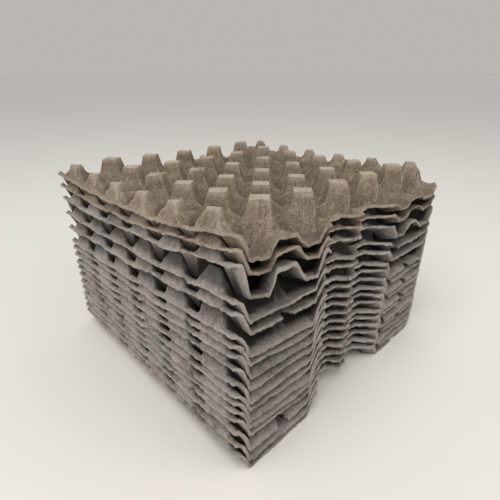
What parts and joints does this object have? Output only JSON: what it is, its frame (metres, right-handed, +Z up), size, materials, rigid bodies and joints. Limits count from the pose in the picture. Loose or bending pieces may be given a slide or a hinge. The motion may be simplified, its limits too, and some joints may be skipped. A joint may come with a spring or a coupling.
{
  "type": "stack of pulp egg trays",
  "caption": "Stack of nested moulded-pulp egg trays, grey with a brown top, for carrying eggs in cups between hollow posts.",
  "frame": {"origin": "middle of the stack's footprint, on the surface it stands on", "axes": "+Z up; X along the sides with the half cups and finger grips, Y along the sides with the flat rim"},
  "size_m": [0.3006, 0.3009, 0.2123],
  "materials": {
    "grey_pulp": "matt moulded pulp",
    "brown_pulp": "matt moulded pulp"
  },
  "bodies": {
    "root": {"tray_01": "grey_pulp", "tray_02": "grey_pulp", "tray_03": "grey_pulp", "tray_04": "grey_pulp", "tray_05": "grey_pulp", "tray_06": "grey_pulp", "tray_07": "grey_pulp", "tray_08": "grey_pulp", "tray_09": "grey_pulp", "tray_10": "grey_pulp", "tray_11": "grey_pulp", "tray_12": "grey_pulp", "tray_13": "grey_pulp", "tray_14": "grey_pulp", "tray_15": "grey_pulp", "tray_16": "brown_pulp", "tray_17": "brown_pulp"}
  },
  "joints": []
}
